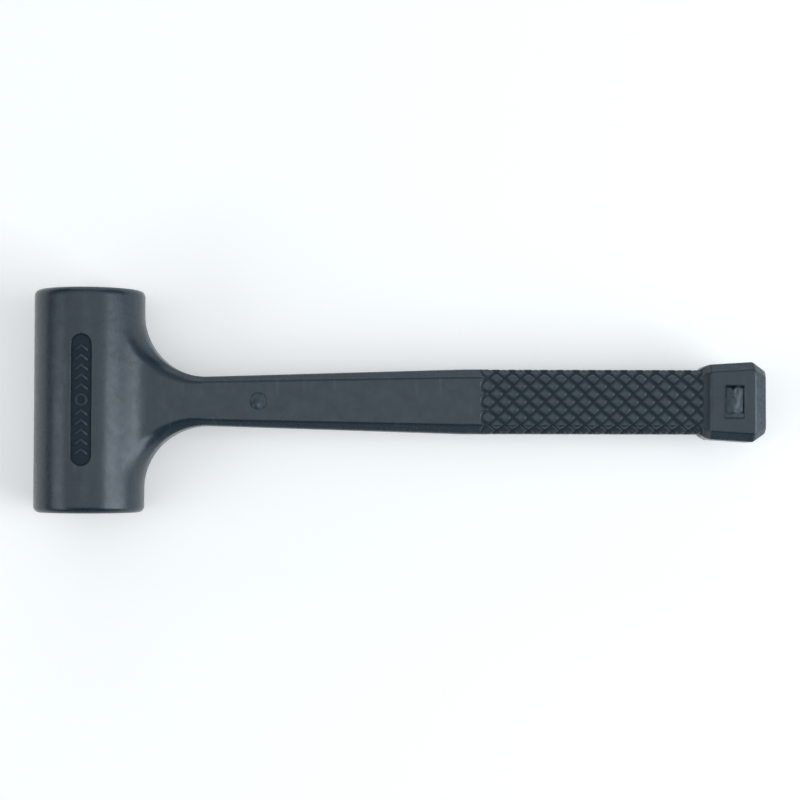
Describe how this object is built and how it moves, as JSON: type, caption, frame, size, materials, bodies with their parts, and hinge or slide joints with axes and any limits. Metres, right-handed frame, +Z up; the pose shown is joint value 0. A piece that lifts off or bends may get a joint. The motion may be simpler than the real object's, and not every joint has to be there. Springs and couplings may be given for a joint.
{
  "type": "dead blow mallet",
  "caption": "Dead blow mallet: a cylindrical two-faced head on a long flattened handle, rubber-jacketed in one piece over a shot-filled steel canister and a tubular steel core.",
  "frame": {"origin": "centre of the head, where the head's axis crosses the handle's centre line", "axes": "+X along the handle, from the head to the butt; +Y along the head's axis, to the rear striking face; +Z up, square to both, with the mallet lying on its side"},
  "size_m": [0.299, 0.091, 0.045],
  "materials": {
    "jacket_rubber": "moulded blue-grey elastomer, fine satin grain",
    "plug_rubber": "poured elastomer plug, slightly lighter and duller than the jacket",
    "bare_steel": "drawn tube, oiled",
    "zinc_steel": "zinc plated",
    "weld_steel": "as-welded bead",
    "shot_steel": "tumbled steel shot",
    "nylon": "natural nylon"
  },
  "bodies": {
    "mallet": {"rubber_jacket": "jacket_rubber", "top_neck_plug": "plug_rubber", "bottom_neck_plug": "plug_rubber", "top_window_plug": "plug_rubber", "bottom_window_plug": "plug_rubber", "canister_tube": "bare_steel", "front_canister_cap": "zinc_steel", "rear_canister_cap": "zinc_steel", "core_socket": "bare_steel", "socket_weld": "weld_steel", "handle_core": "zinc_steel", "socket_roll_pin": "bare_steel", "core_end_plug": "nylon"},
    "shot_charge": {"shot_layer_01": "shot_steel", "shot_layer_02": "shot_steel", "shot_layer_03": "shot_steel", "shot_layer_04": "shot_steel", "shot_layer_05": "shot_steel", "shot_layer_06": "shot_steel", "shot_layer_07": "shot_steel", "shot_layer_08": "shot_steel", "shot_layer_09": "shot_steel", "shot_layer_10": "shot_steel", "shot_layer_11": "shot_steel", "shot_layer_12": "shot_steel"}
  },
  "joints": [
    {"name": "shot_slide", "type": "slide", "parent": "mallet", "child": "shot_charge", "axis": [0, 1, 0], "range_m": [-0.0095, 0.0095]}
  ]
}
